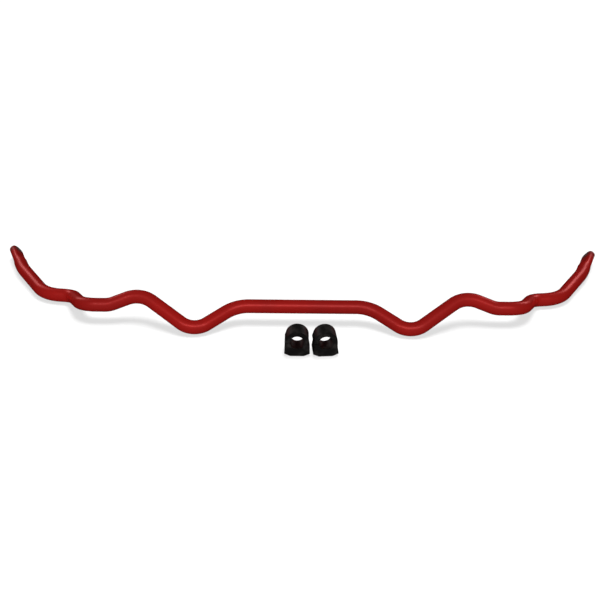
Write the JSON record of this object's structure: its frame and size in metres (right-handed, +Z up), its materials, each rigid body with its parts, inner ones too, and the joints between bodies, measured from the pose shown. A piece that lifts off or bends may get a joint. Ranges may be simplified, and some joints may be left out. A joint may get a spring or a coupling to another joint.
{
  "type": "sway bar with pivot bushings",
  "caption": "Solid anti-roll (sway) bar bent round its neighbours, with flattened drilled ends, and two loose split D-section pivot bushings.",
  "frame": {"origin": "on the floor under the middle of the whole set's box", "axes": "+X along the bar's torsion axis, +Y the way the arms run, +Z up"},
  "size_m": [1.2956, 0.4092, 0.0633],
  "materials": {
    "red_powder_coat": "semi-gloss powder coat",
    "black_rubber": "satin moulded"
  },
  "bodies": {
    "bar": {"sway_bar": "red_powder_coat"},
    "left_bushing": {"bushing_left": "black_rubber"},
    "right_bushing": {"bushing_right": "black_rubber"}
  },
  "joints": [
    {"name": "left_bushing_lift", "type": "slide", "parent": "bar", "child": "left_bushing", "axis": [0, 0, 1], "range_m": [0, 0.15]},
    {"name": "right_bushing_lift", "type": "slide", "parent": "bar", "child": "right_bushing", "axis": [0, 0, 1], "range_m": [0, 0.15]}
  ]
}
